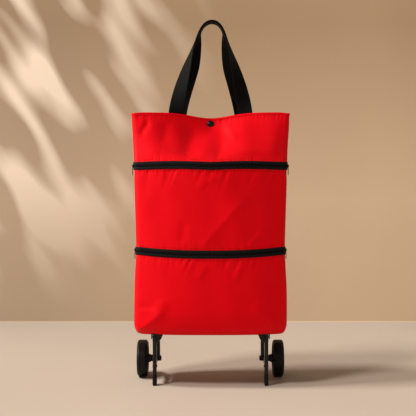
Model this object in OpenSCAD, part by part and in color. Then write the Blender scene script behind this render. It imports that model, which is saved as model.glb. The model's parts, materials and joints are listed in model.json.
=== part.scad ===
// Folding shopping trolley: a tall fabric tote on two folding wheel brackets.
// Frame: +Z up, X across the bag, -Y the front. Origin on the floor, under the middle of the bag.
// Front legs and rear wheels stand on z = 0. Each bracket folds inward under the base.

/* [Bag] */
// Half width of the bag at the top hem
hem_half_w = 169; // [159:1:177]
// Half depth of the bag's side panel at the lower belly
belly_half_d = 72; // [66:1:74]
// How far the front and rear faces bulge past the side panels
face_bulge = 13; // [6:1:15]
// Height of the bag's underside above the floor
bottom_z = 115; // [115:1:120]
// Height of the lower zip's centre line
lower_zip_z = 292; // [275:1:300]
// Height of the upper zip's centre line
upper_zip_z = 473; // [460:1:485]
// Height of the hem at the sides
hem_z = 587; // [575:1:600]
// How far the hem dips at the snap
hem_dip = 10; // [4:1:14]
// Thickness of the bag fabric with its lining
fabric_t = 1.6; // [1.2:0.1:2]

/* [Zips] */
// Full height of the visible zip band
zip_h = 16; // [14:1:18]
// Height of the zip coil
coil_h = 5; // [4:0.5:6]
// How far the coil stands proud of the tape
coil_proud = 1.6; // [1:0.1:2]
// Length of a zip pull
pull_len = 20; // [14:1:24]

/* [Handles] */
// Distance of the front handle's ends from the bag's centre line
strap_x = 75.5; // [72:0.5:80]
// Width of the handle webbing
strap_w = 30; // [24:1:34]
// Height of the front handle's crown above the floor
crown_z = 793; // [760:1:810]

/* [Wheels] */
// Wheel diameter
wheel_d = 82; // [80:1:86]
// Tyre width
tyre_w = 23.5; // [20:0.5:25]
// Distance of the wheel's middle from the bag's centre line
wheel_x = 152; // [150:1:155]
// Distance of the axle behind the middle of the bag
wheel_y = 42; // [38:1:42]

/* [Brackets] */
// Distance of the folding hinge from the bag's centre line
hinge_x = 110; // [110:1:112]
// Height of the folding hinge
hinge_z = 106; // [106:0.5:107]
// Radius of the hinge pin
pin_r = 2.5; // [2.2:0.1:2.7]
// Distance of the front leg ahead of the middle of the bag
leg_y = 48; // [46:1:50]
// Thickness of the front leg, across the bag
leg_w = 8; // [7.5:0.5:9]

/* [Hidden] */

$fn = 48;
RED = [0.86, 0.03, 0.07];
BLACK = [0.05, 0.05, 0.055];
DARK = [0.09, 0.09, 0.1];
STEEL = [0.14, 0.14, 0.15];

// ---- the bag's shape -------------------------------------------------------

gap = 0.3;                              // clearance between separate pieces
top_z = upper_zip_z + zip_h / 2;        // where the top section starts
hem_half_d = 46;                        // half depth of the side panel at the hem
snap_half_gap = 3.8;                    // half depth over the outside of the snapped hem
snap_share = 0.86;                      // how far up the top section the snap sits
mouth_d = 24;                           // how far the pinched hem opens from the snap to its widest
mouth_reach = 0.42;                     // share of the half width over which it opens
gusset_fold = 0.09;                     // how far the top side panels fold inward
edge_h = 30;                            // height of the rounded bottom edge
hem_band = 6;                           // height of the hem

function mix(a, b, t) = a + (b - a) * t;
function clamp(t) = min(1, max(0, t));
function ease(t) = t * t * (3 - 2 * t);

// How far up the top section a height is, from 0 at the zip to 1 at the hem.
function rise(z) = clamp((z - top_z) / (hem_z - top_z));
// How far the mouth is pinched shut at that height.
function pinch(z) = let (s = clamp(rise(z) / snap_share)) (s + sin(90 * s)) / 2;
// The quarter round of the bottom edge, from 0 at the underside to 1 above it.
function bottom_round(z) = let (s = clamp((z - bottom_z) / edge_h)) sqrt(1 - pow(1 - s, 2));

belly_half_w = hem_half_w - 6;
waist_half_w = hem_half_w - 9.5;
zip_half_w = hem_half_w - 5.5;

function half_w(z) =
    lookup(z, [[175, belly_half_w], [230, belly_half_w - 1], [lower_zip_z, waist_half_w],
               [375, waist_half_w + 1.5], [upper_zip_z, zip_half_w], [hem_z, hem_half_w]])
    - 19 * (1 - bottom_round(z));
function half_d(z) =
    lookup(z, [[190, belly_half_d], [lower_zip_z, belly_half_d - 2.5], [upper_zip_z, belly_half_d - 4],
               [top_z, belly_half_d - 4], [hem_z, hem_half_d]])
    - 16 * (1 - bottom_round(z));
function bulge(z) =
    lookup(z, [[190, face_bulge], [lower_zip_z, face_bulge - 0.5], [upper_zip_z, face_bulge - 1]])
    * mix(0.6, 1, bottom_round(z));
function corner_r(z) = lookup(z, [[top_z, 15], [hem_z, 11]]);

// Places of the columns across the front face, as shares of the half width at the hem.
rear_strap_x = strap_x - 6;               // the rear handle nests inside the front one
function share(x) = x / hem_half_w;
half_cols = [0.1, 0.22, share(rear_strap_x - strap_w / 2), share(strap_x - strap_w / 2), share(strap_x),
             share(rear_strap_x + strap_w / 2), share(strap_x + strap_w / 2), 0.66, 0.77];
face_cols = concat([for (i = [len(half_cols) - 1:-1:0]) -half_cols[i]], [0], half_cols);
side_cols = [-0.75, -0.4, 0, 0.4, 0.75];
arc_n = 5;

// A rounded rectangle, anticlockwise from its front left corner.
function arc(cx, cy, r, from) =
    [for (i = [0:arc_n]) let (a = from + 90 * i / arc_n) [cx + r * cos(a), cy + r * sin(a)]];
function outline(a, b, r) = concat(
    arc(-a + r, -b + r, r, 180), [for (u = face_cols) [u * a, -b]],
    arc(a - r, -b + r, r, 270), [for (v = side_cols) [a, v * (b - r)]],
    arc(a - r, b - r, r, 0), [for (u = face_cols) [-u * a, b]],
    arc(-a + r, b - r, r, 90), [for (v = side_cols) [-a, -v * (b - r)]]);
n_front = 2 * (arc_n + 1) + len(face_cols);       // columns of the front face with its two corners
n_loop = 2 * (n_front + len(side_cols));

// Half depth of the section at x = u times the half width.
function depth_at(u, z) =
    mix(half_d(z) + bulge(z) * (1 - u * u),
        snap_half_gap + mouth_d * (1 - exp(-pow(u / mouth_reach, 1.6))), pinch(z));
function shaped(p, z) =
    let (a = half_w(z), b = half_d(z), u = abs(p[0]) / a, v = abs(p[1]) / b)
    [p[0] * (1 - gusset_fold * rise(z) * clamp(1 - 1.35 * v) * pow(u, 8)),
     p[1] * depth_at(u, z) / b,
     z - hem_dip * rise(z) * (1 - pow(u, 1.5))];
function ring(z) = [for (p = outline(half_w(z), half_d(z), corner_r(z))) shaped(p, z)];
function pushed(r, d) =
    [for (i = [0:len(r) - 1])
        let (a = r[(i + len(r) - 1) % len(r)], b = r[(i + 1) % len(r)], t = [b[0] - a[0], b[1] - a[1]])
        [r[i][0] + d * t[1] / norm(t), r[i][1] - d * t[0] / norm(t), r[i][2]]];

// A skin between two offsets of the bag's surface, over heights zs and columns c0 to c1.
// closed joins the last column to the first. inset, one for each height, moves both offsets inward.
module skin(zs, out, inn, c0 = 0, c1 = n_loop - 1, closed = true, inset = []) {
    cols = [for (c = [c0:c1]) c % n_loop];
    nc = len(cols);
    nr = len(zs);
    moved = len(inset) > 0 ? inset : [for (z = zs) 0];
    outer = [for (i = [0:nr - 1]) let (r = pushed(ring(zs[i]), out - moved[i])) [for (c = cols) r[c]]];
    inner = [for (i = [0:nr - 1]) let (r = pushed(ring(zs[i]), inn - moved[i])) [for (c = cols) r[c]]];
    points = concat([for (r = outer) for (p = r) p], [for (r = inner) for (p = r) p]);
    last = closed ? nc - 1 : nc - 2;
    function o(r, c) = r * nc + c % nc;
    function i(r, c) = nr * nc + r * nc + c % nc;
    function quad(a, b, c, d) = [[a, b, c], [a, c, d]];
    walls = [for (r = [0:nr - 2]) for (c = [0:last]) for (f = concat(
        quad(o(r, c), o(r + 1, c), o(r + 1, c + 1), o(r, c + 1)),
        quad(i(r, c), i(r, c + 1), i(r + 1, c + 1), i(r + 1, c)))) f];
    rims = [for (c = [0:last]) for (f = concat(
        quad(o(0, c), o(0, c + 1), i(0, c + 1), i(0, c)),
        quad(o(nr - 1, c), i(nr - 1, c), i(nr - 1, c + 1), o(nr - 1, c + 1)))) f];
    ends = closed ? [] : [for (r = [0:nr - 2]) for (f = concat(
        quad(o(r, 0), i(r, 0), i(r + 1, 0), o(r + 1, 0)),
        quad(o(r, nc - 1), o(r + 1, nc - 1), i(r + 1, nc - 1), i(r, nc - 1)))) f];
    polyhedron(points, concat(walls, rims, ends), convexity = 6);
}

function steps(from, to, n) = [for (i = [0:n]) mix(from, to, i / n)];

// ---- fabric panels -----------------------------------------------------------

lower_top_z = lower_zip_z - zip_h / 2;
tape_t = 1.2;                              // thickness of the zip tape
hem_start_z = hem_z - hem_band;

// The middle panel slides down inside the lower section, so it is a little narrower, and it
// widens at its top edge, where it lines the upper zip.
middle_z0 = lower_top_z - 1;
middle_inset = 2.6;
middle_zs = [middle_z0, lower_zip_z + 15, 330, 375, 412, 448, upper_zip_z - zip_h / 2, top_z];
middle_insets = [for (z = middle_zs)
    z < 450 ? middle_inset + 1.2 + max(0, half_w(z) - waist_half_w - 1) * 0.75 : tape_t + 0.1];

module lower_panel()
    color(RED) skin(concat([for (s = [0, 1, 3, 7, 13, 21]) bottom_z + s],
                           steps(bottom_z + edge_h, lower_top_z, 5)),
                    0, -fabric_t);

module bottom_panel()
    color(RED) difference() {
        translate([0, 0, bottom_z])
            linear_extrude(fabric_t)
                polygon([for (p = pushed(ring(bottom_z), -fabric_t - 0.1)) [p[0], p[1]]]);
        for (side = [-1, 1]) shoe_rivet_holes(side);
    }

// The stiff board that lies on the bottom panel.
board_t = 3;
board_z = bottom_z + fabric_t + gap;

module base_board()
    color(DARK) difference() {
        translate([0, 0, board_z]) rounded_plate(274, 96, board_t, 20);
        for (side = [-1, 1]) shoe_rivet_holes(side);
    }

module middle_panel()
    color(RED) skin(middle_zs, 0, -fabric_t, inset = middle_insets);

module top_section(z0, c0, c1)
    color(RED) skin(concat(steps(z0, hem_start_z, 8), [hem_z]), 0, -fabric_t, c0, c1, false);

module hem(c0, c1) color(RED) skin([hem_start_z, hem_z], 0.5, 0, c0, c1, false);

// The top front panel and what is fixed to it stand clear of the side panels.
module on_front() translate([0, -gap, 0]) children();

// ---- zips --------------------------------------------------------------------

module zip_tape(z, dir)
    color(BLACK) skin(dir > 0 ? [z + coil_h / 2, z + zip_h / 2] : [z - zip_h / 2, z - coil_h / 2],
                      0, -tape_t);

module zip_coil(z) color(DARK) skin([z - coil_h / 2, z + coil_h / 2], coil_proud, -tape_t);

slider_len = 12;
slider_y = -30;                            // a closed slider stops near the front of its side panel
slider_h = 9;
plate_t = 1.3;
pivot_r = 1.1;
pull_t = 1.2;
pull_w = 6;
plate_x = coil_proud + gap + plate_t;      // outer face of a slider's plate, from the tape
pull_x = plate_x + gap;
head_x = pull_x + pull_t + gap;
head_t = 0.6;

// Puts a zip piece on a side of the bag, with its x measured from the tape.
module on_zip(z, side) on_side(side) translate([half_w(z), slider_y, z]) children();

// A saddle over the coil, with a post and head that carry the pull.
module slider(z, side)
    on_zip(z, side) color(DARK) {
        difference() {
            translate([gap, -slider_len / 2, -slider_h / 2]) cube([plate_x - gap, slider_len, slider_h]);
            translate([0, -slider_len, -coil_h / 2 - gap])
                cube([coil_proud + gap, 2 * slider_len, coil_h + 2 * gap]);
        }
        along_x(plate_x, head_x + head_t) circle(pivot_r);
        along_x(head_x, head_x + head_t) circle(pivot_r + 0.8);
    }

module pull(z, side)
    on_zip(z, side) color(DARK) along_x(pull_x, pull_x + pull_t) difference() {
        union() {
            circle(pull_w / 2);
            translate([-pull_w / 2, -pull_len + pull_w / 2]) square([pull_w, pull_len - pull_w / 2]);
            translate([0, -pull_len + pull_w / 2]) circle(pull_w / 2);
        }
        circle(pivot_r + 0.05);
        translate([0, -pull_len + pull_w / 2]) circle(1.2);
    }

// ---- snap fastener -------------------------------------------------------------

snap_z = 564;
snap_r = 7.75;
post_r = 1.9;
fabric_in = snap_half_gap - fabric_t;      // inner face of either panel at the snap
socket_t = 2.6;
socket_depth = 2;
stud_r = 2.4;
stud_base_t = 1.2;

// Extrudes a shape along Y from y0 to y1, at the snap's height.
module snap_disc(y0, y1) translate([0, y1, snap_z]) rotate([90, 0, 0]) linear_extrude(y1 - y0) children();

module snap_dome(y, dir)
    translate([0, y, snap_z]) rotate([dir * 90, 0, 0]) rotate_extrude()
        intersection() {
            translate([0, -10.6]) circle(13.1, $fn = 96);
            square([snap_r, 3]);
        }

module snap_cap()
    color(BLACK) {
        snap_dome(-snap_half_gap, 1);
        snap_disc(-snap_half_gap, -fabric_in) circle(post_r);
    }

module snap_socket()
    color(BLACK) difference() {
        snap_disc(-fabric_in, -fabric_in + socket_t) circle(6.4);
        snap_disc(-fabric_in + socket_t - socket_depth, fabric_in) circle(stud_r + 0.2);
    }

module snap_stud()
    color(BLACK) {
        snap_disc(fabric_in - stud_base_t, fabric_in) circle(6.4);
        snap_disc(-0.9, fabric_in - stud_base_t) circle(stud_r);
    }

module snap_back()
    color(BLACK) {
        snap_dome(snap_half_gap, -1);
        snap_disc(fabric_in, snap_half_gap) circle(post_r);
    }

// ---- handles -------------------------------------------------------------------

strap_t = 2.2;
handle_pivot_z = hem_z + 1;                // a little above the hem, where the webbing bends
grip_y = 8.2;                              // distance of either grip from the middle plane
grip_w = 15;                               // width of the folded grip
grip_t = 5;                                // thickness of the folded grip
tab_in = fabric_t + 0.7;                   // how far inside the panel a sewn end starts
leg_steps = 16;
arch_steps = 10;

// Distance of a strap's middle from the middle plane, at the hem.
function strap_y(x) = depth_at(share(x), hem_z) - tab_in - strap_t / 2;

// Each handle: its ends' x, then control points of the leg and of the arch's left half.
top_line = crown_z - grip_t / 2;
front_line = [[[-strap_x, handle_pivot_z + gap], [-67, 642], [-46.5, top_line - 74], [-30.5, top_line - 34]],
              [[-30.5, top_line - 34], [-22.5, top_line - 10], [-12.5, top_line], [0, top_line]]];
rear_top = top_line - 4;
rear_line = [[[-rear_strap_x, handle_pivot_z + gap], [-57, 642], [-29, rear_top - 87],
              [-24.8, rear_top - 26]],
             [[-24.8, rear_top - 26], [-23.2, rear_top - 11], [-12, rear_top], [0, rear_top]]];

function bezier(p, t) =
    pow(1 - t, 3) * p[0] + 3 * pow(1 - t, 2) * t * p[1] + 3 * (1 - t) * t * t * p[2] + pow(t, 3) * p[3];
function half_line(line) = concat([for (i = [0:leg_steps - 1]) bezier(line[0], i / leg_steps)],
                                  [for (i = [0:arch_steps]) bezier(line[1], i / arch_steps)]);
n_half = leg_steps + arch_steps;
function full_line(line) = let (h = half_line(line))
    concat(h, [for (i = [n_half - 1:-1:0]) [-h[i][0], h[i][1]]]);
// How far along its leg a point is, from 0 at the hem to 1 where the grip starts.
function along(k) = clamp(min(k, 2 * n_half - k) / leg_steps);

// The corners of the webbing's section at step k of a line that starts at y0. It lies along the
// hem at its ends, and turns edge-on and folds double towards the grip.
function strap_section(line, y0, k) =
    let (p = line[k], a = line[max(0, k - 1)], b = line[min(2 * n_half, k + 1)],
         t = (b - a) / norm(b - a), s = along(k), turn = mix(-14, 90, 1 - pow(1 - s, 1.35)),
         inward = [t[1], -t[0]],
         edge = [cos(turn) * inward[0], -sin(turn), cos(turn) * inward[1]],
         face = cross([t[0], 0, t[1]], edge),
         fold = ease(clamp((s - 0.55) / 0.45)),
         w = mix(strap_w, grip_w, fold) / 2, h = mix(strap_t, grip_t, fold) / 2,
         c = [p[0], -mix(y0, grip_y, min(1, 2 * s)) - 4 * sin(180 * s), p[1]])
    [c - w * edge - h * face, c + w * edge - h * face, c + w * edge + h * face, c - w * edge + h * face];

// Joins equal closed sections, one after the other, with flat ends.
module swept(sections) {
    m = len(sections[0]);
    n = len(sections);
    sides = [for (k = [0:n - 2]) for (j = [0:m - 1])
        for (f = [[k * m + j, k * m + (j + 1) % m, (k + 1) * m + (j + 1) % m],
                  [k * m + j, (k + 1) * m + (j + 1) % m, (k + 1) * m + j]]) f];
    polyhedron([for (s = sections) for (p = s) p],
               concat(sides, [[for (j = [m - 1:-1:0]) j]], [[for (j = [0:m - 1]) (n - 1) * m + j]]),
               convexity = 8);
}

module handle(shape, x) color(BLACK) {
    line = full_line(shape);
    swept([for (k = [0:2 * n_half]) strap_section(line, strap_y(x), k)]);
}

// The sewn ends of a handle, against the inside of its panel. first is the panel's first column,
// and skipped is the number of face columns outside the strap.
module handle_tabs(first, skipped) {
    c = arc_n + 1 + skipped;
    color(BLACK) for (start = [first + c, first + n_front - 4 - c])
        skin(steps(mix(top_z, hem_z, 0.55), hem_z, 4), -tab_in, -tab_in - strap_t, start, start + 3, false);
}

// ---- wheel brackets --------------------------------------------------------------

plate_z = bottom_z - gap;                  // top of a shoe
shoe_t = 3;
shoe_under = plate_z - shoe_t;
shoe_half_l = 60;
shoe_x0 = hinge_x - 10;
knuckle_r = 5.5;
knuckle_flare = 2.8;                       // how much wider a knuckle's root is, on its inner side
tube_r = 5;
tube_y0 = -leg_y;
tube_y1 = 50;
leg_x0 = hinge_x + 6.4;                    // inner face of the leg, clear of the knuckles when folded
leg_d = 16;
lip_gap = 0.9;                             // clearance between the leg and the shoe's lip
leg_top = shoe_under - gap;
arm_t = 7.5;
arm_x0 = hinge_x + 3.3;
boss_r = 6.4;
boss_end = 129;
axle_r = 4;
axle_z = wheel_d / 2;
brace_t = 4;                               // the brace's end sits in a slot in the leg
brace_x0 = leg_x0 + (leg_w - brace_t) / 2;
brace_y0 = -leg_y;
brace_h = 9;
lug_z0 = 92;
lug_z1 = 104;
rivet_r = 2;
rivet_head = 0.9;                          // height of a rivet's lower head, clear of the hinge tube

module on_side(side) {
    if (side > 0) children();
    else mirror([1, 0, 0]) children();
}
// Extrudes a 2D shape, given as (y, z), along X from x0 to x1.
module along_x(x0, x1) translate([x0, 0, 0]) rotate([90, 0, 90]) linear_extrude(x1 - x0) children();
// Extrudes a 2D shape, given as (x, z), along Y from y0 to y1.
module along_y(y0, y1) translate([0, y1, 0]) rotate([90, 0, 0]) linear_extrude(y1 - y0) children();

module rounded_plate(w, l, t, r)
    linear_extrude(t) union() {
        square([w - 2 * r, l], center = true);
        square([w, l - 2 * r], center = true);
        for (x = [-1, 1]) for (y = [-1, 1]) translate([x * (w / 2 - r), y * (l / 2 - r)]) circle(r);
    }

shoe_rivet_places = [[hinge_x - 6.4, -34], [hinge_x + 12, -24], [hinge_x - 6.4, 24], [hinge_x + 12, 20]];
module shoe_rivet_holes(side)
    on_side(side) for (p = shoe_rivet_places)
        translate([p[0], p[1], 0]) cylinder(r = rivet_r + 0.05, h = 400);

module at_hinge() translate([hinge_x, hinge_z]) children();

// The fixed hinge half under the base: a plate, two knuckles and a lip beside the leg.
module shoe(side)
    color(BLACK) difference() {
        on_side(side) {
            translate([hinge_x + 4, 0, shoe_under]) rounded_plate(28, 2 * shoe_half_l, shoe_t, 5);
            for (y = [[-shoe_half_l, tube_y0 - gap], [tube_y1 + gap, shoe_half_l]])
                along_y(y[0], y[1]) difference() {
                    at_hinge() union() {
                        circle(knuckle_r);
                        polygon([[-knuckle_r - knuckle_flare, shoe_under - hinge_z], [-knuckle_r, 0],
                                 [knuckle_r, 0], [knuckle_r, shoe_under - hinge_z]]);
                    }
                    at_hinge() circle(pin_r);
                }
            translate([leg_x0 + leg_w + lip_gap, -leg_y - 9, hinge_z - 4])
                cube([2.2, 18, shoe_under - hinge_z + 4]);
        }
        shoe_rivet_holes(side);
    }

module shoe_rivets(side)
    color(STEEL) on_side(side) for (p = shoe_rivet_places) translate([p[0], p[1], 0]) {
        translate([0, 0, shoe_under - rivet_head]) cylinder(r = 3.5, h = rivet_head);
        translate([0, 0, shoe_under - rivet_head / 2])
            cylinder(r = rivet_r, h = board_z + board_t - shoe_under + rivet_head / 2 + 0.5);
        translate([0, 0, board_z + board_t]) cylinder(r = 3.5, h = 1.3);
    }

module hinge_pin(side)
    color(STEEL) on_side(side) {
        along_y(-shoe_half_l - 1, shoe_half_l + 1) at_hinge() circle(pin_r);
        along_y(-shoe_half_l - 2.4, -shoe_half_l - 0.1) at_hinge() circle(3.8);
        along_y(shoe_half_l + 0.1, shoe_half_l + 2.4) at_hinge() circle(3.8);
    }

leg_rivet_places = [[tube_y0 + 4, lug_z0 + 5], [brace_y0 + 4, axle_z]];

// The welded steel bracket: hinge tube, lug for the leg, wheel arm, axle boss and brace.
module bracket(side)
    color(BLACK) on_side(side) difference() {
        union() {
            along_y(tube_y0, tube_y1) at_hinge() circle(tube_r);
            translate([arm_x0, tube_y0, lug_z0]) cube([leg_x0 - arm_x0, 8, lug_z1 - lug_z0]);
            translate([brace_x0, brace_y0, axle_z - brace_h / 2])
                cube([brace_t, wheel_y - brace_y0, brace_h]);
            translate([arm_x0, wheel_y - 8, axle_z]) cube([arm_t, 16, hinge_z - axle_z]);
            along_x(arm_x0, boss_end) at_axle() circle(boss_r);
        }
        along_y(tube_y0 - 1, tube_y1 + 1) at_hinge() circle(pin_r + 0.06);
        along_x(arm_x0 - 1, boss_end + 1) at_axle() circle(axle_r);
        for (p = leg_rivet_places) along_x(arm_x0 - 1, leg_x0 + leg_w) translate(p) circle(rivet_r);
    }

// A flat bar with a round top end, slotted for the brace.
module leg(side)
    color(BLACK) on_side(side) difference() {
        intersection() {
            translate([leg_x0 + leg_w / 2, -leg_y, 5]) rounded_plate(leg_w, leg_d, 120, 2.5);
            along_y(-leg_y - leg_d, -leg_y + leg_d) union() {
                translate([leg_x0, 6]) square([leg_w, leg_top - leg_w / 2 - 6]);
                translate([leg_x0 + leg_w / 2, leg_top - leg_w / 2]) circle(leg_w / 2);
            }
        }
        translate([brace_x0, brace_y0, axle_z - brace_h / 2]) cube([brace_t, leg_d, brace_h]);
        for (p = leg_rivet_places) along_x(leg_x0 - 1, leg_x0 + leg_w + 1) translate(p) circle(rivet_r);
    }

module leg_rivets(side)
    color(STEEL) on_side(side) for (i = [0, 1]) {
        p = leg_rivet_places[i];
        head_x = i == 0 ? arm_x0 : leg_x0;
        along_x(head_x - 0.5, leg_x0 + leg_w + 0.5) translate(p) circle(rivet_r);
        along_x(head_x - 1.2, head_x) translate(p) circle(3.2);
        along_x(leg_x0 + leg_w, leg_x0 + leg_w + 0.8) translate(p) circle(3.2);
    }

// A rubber cap over the leg's lower end, with a flat tread.
foot_h = 26;
tread_half_w = 1.8;
foot_wall = 0.6;
module foot(side)
    color(DARK) on_side(side) difference() {
        intersection() {
            translate([leg_x0 + leg_w / 2, -leg_y, 0])
                rounded_plate(leg_w + 2 * foot_wall, leg_d + 2 * foot_wall, foot_h, 3.2);
            along_y(-leg_y - leg_d, -leg_y + leg_d) translate([leg_x0 + leg_w / 2, 0]) union() {
                translate([-tread_half_w, 0]) square([2 * tread_half_w, foot_h]);
                translate([-leg_w / 2 - foot_wall, 4]) square([leg_w + 2 * foot_wall, foot_h - 4]);
                intersection() {
                    translate([0, 4.8]) circle(5);
                    translate([-leg_w / 2 - foot_wall, 0]) square([leg_w + 2 * foot_wall, foot_h]);
                }
            }
        }
        translate([leg_x0 + leg_w / 2, -leg_y, 6]) rounded_plate(leg_w, leg_d, foot_h, 2.5);
    }

// ---- wheels ------------------------------------------------------------------------

nut_t = 2.6;
washer_t = 1.2;
hub_x0 = boss_end + washer_t + 0.6;        // inner end of the hub
hub_x1 = wheel_x + 7.5;
hub_r = 9.5;
bush_r = 5.6;
rim_r = 32.9;
rim_w = 20;
tyre_x0 = wheel_x - tyre_w / 2;
tyre_x1 = wheel_x + tyre_w / 2;
shoulder_r = 6;
spokes = 6;
spoke_half_l = 7;                          // half of a spoke's length along X
cap_x0 = wheel_x + spoke_half_l + 0.1;     // inner end of a hub cap, just clear of the spokes

module at_axle() translate([wheel_y, axle_z]) children();
// Turns a profile, given as (radius, x), about the axle.
module turned() translate([0, wheel_y, axle_z]) rotate([0, 90, 0]) rotate_extrude($fn = 96) children();

module axle(side)
    color(STEEL) on_side(side) {
        along_x(arm_x0 - nut_t - 0.5, hub_x1 + 0.5) at_axle() circle(axle_r);
        along_x(hub_x1 + 0.4, hub_x1 + 2.2) at_axle() circle(6.5);
    }

module axle_nut(side)
    color(STEEL) on_side(side) along_x(arm_x0 - nut_t, arm_x0) difference() {
        at_axle() circle(6.2, $fn = 6);
        at_axle() circle(axle_r);
    }

module washer(side)
    color(STEEL) on_side(side) along_x(boss_end + gap, boss_end + gap + washer_t) difference() {
        at_axle() circle(8);
        at_axle() circle(axle_r + 0.1);
    }

module bush(side)
    color([0.8, 0.8, 0.78]) on_side(side) along_x(hub_x0, hub_x1) difference() {
        at_axle() circle(bush_r);
        at_axle() circle(axle_r + 0.05);
    }

// A moulded wheel centre: hub with a tapered inner nose, dished web, spokes and rim.
module rim(side)
    color(DARK) on_side(side) difference() {
        union() {
            turned() polygon([[bush_r, hub_x0], [6.9, hub_x0], [10, tyre_x0 - 2], [10, wheel_x - 4],
                              [rim_r - 5, wheel_x - 2.5], [rim_r - 4, wheel_x - rim_w / 2],
                              [rim_r, wheel_x - rim_w / 2], [rim_r, wheel_x + rim_w / 2],
                              [rim_r - 4, wheel_x + rim_w / 2], [rim_r - 5, wheel_x + 0.5],
                              [hub_r, wheel_x + 2], [hub_r, hub_x1], [bush_r, hub_x1]]);
            for (i = [0:spokes - 1]) translate([0, wheel_y, axle_z]) rotate([i * 360 / spokes, 0, 0])
                translate([wheel_x - spoke_half_l, -2, hub_r - 2])
                    cube([2 * spoke_half_l, 4, rim_r - 3 - hub_r]);
        }
        along_x(hub_x0 - 1, hub_x1 + 1) at_axle() circle(bush_r + 0.02);
    }

module tyre(side)
    color(BLACK) on_side(side) turned() difference() {
        union() {
            translate([rim_r + 0.1, tyre_x0 + 1.5])
                square([wheel_d / 2 - rim_r - 0.1 - shoulder_r, tyre_w - 3]);
            translate([rim_r + 0.1, tyre_x0 + shoulder_r])
                square([wheel_d / 2 - rim_r - 0.1, tyre_w - 2 * shoulder_r]);
            for (x = [tyre_x0 + shoulder_r, tyre_x1 - shoulder_r])
                translate([wheel_d / 2 - shoulder_r, x]) circle(shoulder_r);
        }
        square([rim_r + 0.1, 2 * wheel_x]);
    }

// A cup over the outer end of the hub, clear of the axle's head.
module hub_cap(side)
    color(DARK) on_side(side) turned() difference() {
        union() {
            translate([0, cap_x0]) square([13, hub_x1 + 2.5 - cap_x0]);
            translate([0, hub_x1 + 2]) square([11, 2.5]);
            translate([11, hub_x1 + 2.5]) circle(2);
        }
        translate([-1, hub_x1 - 5]) square([hub_r + 0.1 + 1, 5 + 2.9]);
        translate([-5, hub_x1 - 5]) square([5, 12]);
    }

// ---- the assembly ----------------------------------------------------------------

lower_panel();
bottom_panel();
base_board();
middle_panel();
on_front() top_section(top_z + gap, 0, n_front - 1);  // top_front_panel
top_section(top_z, n_front - 1, n_loop);  // top_rear_panel
on_front() hem(0, n_front - 1);  // front_hem
hem(n_front - 1, n_loop);  // rear_hem
zip_tape(lower_zip_z, -1);  // lower_zip_tape_bottom
zip_coil(lower_zip_z);  // lower_zip_coil
zip_tape(lower_zip_z, 1);  // lower_zip_tape_top
zip_tape(upper_zip_z, -1);  // upper_zip_tape_bottom
zip_coil(upper_zip_z);  // upper_zip_coil
zip_tape(upper_zip_z, 1);  // upper_zip_tape_top
slider(lower_zip_z, -1);  // lower_left_slider
slider(lower_zip_z, 1);  // lower_right_slider
slider(upper_zip_z, -1);  // upper_left_slider
slider(upper_zip_z, 1);  // upper_right_slider
pull(lower_zip_z, -1);  // lower_left_pull
pull(lower_zip_z, 1);  // lower_right_pull
pull(upper_zip_z, -1);  // upper_left_pull
pull(upper_zip_z, 1);  // upper_right_pull
on_front() snap_cap();
on_front() snap_socket();
snap_stud();
snap_back();
on_front() handle_tabs(0, 2);  // front_handle_tabs
handle_tabs(n_loop / 2, 3);  // rear_handle_tabs
on_front() handle(front_line, strap_x);  // front_handle
mirror([0, 1, 0]) handle(rear_line, rear_strap_x);  // rear_handle
shoe(-1);  // left_shoe
shoe(1);  // right_shoe
shoe_rivets(-1);  // left_shoe_rivets
shoe_rivets(1);  // right_shoe_rivets
hinge_pin(-1);  // left_hinge_pin
hinge_pin(1);  // right_hinge_pin
bracket(-1);  // left_bracket
bracket(1);  // right_bracket
leg(-1);  // left_leg
leg(1);  // right_leg
leg_rivets(-1);  // left_leg_rivets
leg_rivets(1);  // right_leg_rivets
foot(-1);  // left_foot
foot(1);  // right_foot
axle(-1);  // left_axle
axle(1);  // right_axle
axle_nut(-1);  // left_axle_nut
axle_nut(1);  // right_axle_nut
washer(-1);  // left_washer
washer(1);  // right_washer
bush(-1);  // left_bush
bush(1);  // right_bush
rim(-1);  // left_rim
rim(1);  // right_rim
tyre(-1);  // left_tyre
tyre(1);  // right_tyre
hub_cap(-1);  // left_hub_cap
hub_cap(1);  // right_hub_cap
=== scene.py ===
"""Folding shopping trolley: sewn fabric, zips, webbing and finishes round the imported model. Metres."""
import json
import math

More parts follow.
